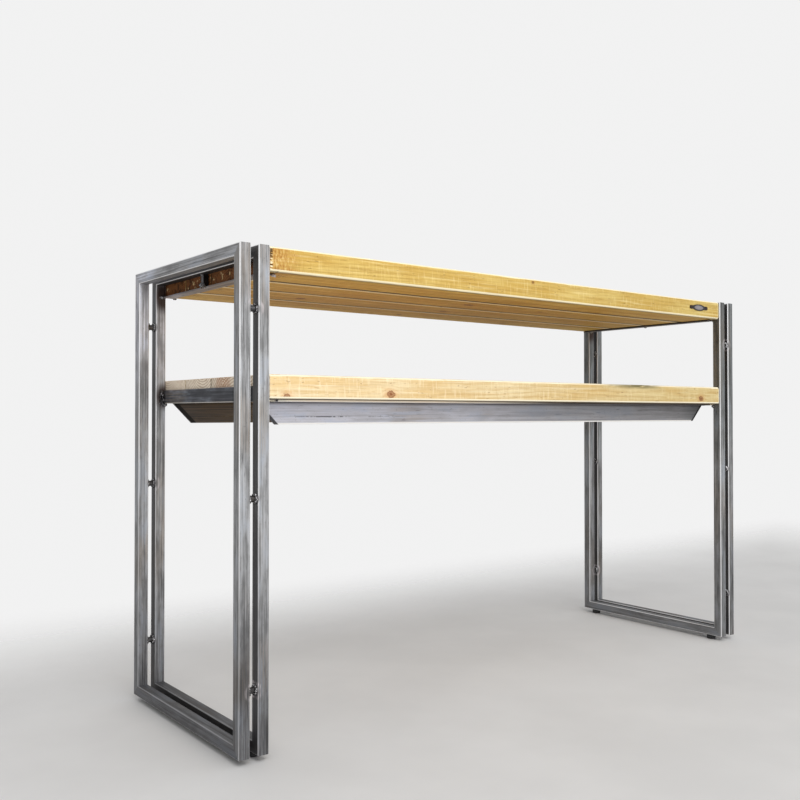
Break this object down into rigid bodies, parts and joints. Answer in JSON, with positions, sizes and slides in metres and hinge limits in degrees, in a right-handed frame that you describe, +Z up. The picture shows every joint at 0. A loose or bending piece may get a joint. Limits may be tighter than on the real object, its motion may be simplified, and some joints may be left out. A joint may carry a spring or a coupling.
{
  "type": "console table",
  "caption": "Console table with a plank top and shelf between paired square-tube end frames, on screw-in levelling feet.",
  "frame": {"origin": "centre of the footprint on the floor, under the middle of the table", "axes": "+X along the table's length towards its right end, +Y towards its back, +Z up"},
  "size_m": [1.315, 0.42, 0.8],
  "materials": {
    "tube_steel": "raw mild steel, ground and clear-lacquered",
    "spacer_steel": "raw steel with weld heat marks",
    "bar_steel": "raw mild steel bar and angle, clear-lacquered",
    "pine_top": "oiled pine, honey brown, sawn texture",
    "pine_shelf": "oiled pine, pale, with knots",
    "screw_zinc": "zinc plated",
    "foot_plastic": "black moulded",
    "foot_zinc": "zinc plated",
    "plate_dark": "blackened, worn",
    "pin_dark": "darkened"
  },
  "bodies": {
    "root": {"bearer_screws": "screw_zinc", "foot_inserts": "foot_zinc", "front_shelf_rail": "bar_steel", "left_bearer_strut": "bar_steel", "left_front_spacers": "spacer_steel", "left_inner_bottom_rail": "tube_steel", "left_inner_front_post": "tube_steel", "left_inner_rear_post": "tube_steel", "left_inner_top_rail": "tube_steel", "left_outer_bottom_rail": "tube_steel", "left_outer_front_post": "tube_steel", "left_outer_rear_post": "tube_steel", "left_outer_top_rail": "tube_steel", "left_rear_spacers": "spacer_steel", "left_shelf_angle": "bar_steel", "left_top_bearer": "bar_steel", "nameplate": "plate_dark", "nameplate_pins": "pin_dark", "rear_shelf_rail": "bar_steel", "right_bearer_strut": "bar_steel", "right_front_spacers": "spacer_steel", "right_inner_bottom_rail": "tube_steel", "right_inner_front_post": "tube_steel", "right_inner_rear_post": "tube_steel", "right_inner_top_rail": "tube_steel", "right_outer_bottom_rail": "tube_steel", "right_outer_front_post": "tube_steel", "right_outer_rear_post": "tube_steel", "right_outer_top_rail": "tube_steel", "right_rear_spacers": "spacer_steel", "right_shelf_angle": "bar_steel", "right_top_bearer": "bar_steel", "shelf_angle_screws": "screw_zinc", "shelf_plank_front": "pine_shelf", "shelf_plank_mid_front": "pine_shelf", "shelf_plank_mid_rear": "pine_shelf", "shelf_plank_rear": "pine_shelf", "shelf_rail_screws": "screw_zinc", "top_plank_front": "pine_top", "top_plank_mid_front": "pine_top", "top_plank_mid_rear": "pine_top", "top_plank_rear": "pine_top"},
    "left_front_foot": {"left_front_foot_pad": "foot_plastic", "left_front_foot_stud": "foot_zinc"},
    "left_rear_foot": {"left_rear_foot_pad": "foot_plastic", "left_rear_foot_stud": "foot_zinc"},
    "right_front_foot": {"right_front_foot_pad": "foot_plastic", "right_front_foot_stud": "foot_zinc"},
    "right_rear_foot": {"right_rear_foot_pad": "foot_plastic", "right_rear_foot_stud": "foot_zinc"}
  },
  "joints": [
    {"name": "left_front_foot_screw", "type": "slide", "parent": "root", "child": "left_front_foot", "axis": [0, 0, -1], "range_m": [0, 0.01]},
    {"name": "left_rear_foot_screw", "type": "slide", "parent": "root", "child": "left_rear_foot", "axis": [0, 0, -1], "range_m": [0, 0.01]},
    {"name": "right_front_foot_screw", "type": "slide", "parent": "root", "child": "right_front_foot", "axis": [0, 0, -1], "range_m": [0, 0.01]},
    {"name": "right_rear_foot_screw", "type": "slide", "parent": "root", "child": "right_rear_foot", "axis": [0, 0, -1], "range_m": [0, 0.01]}
  ]
}
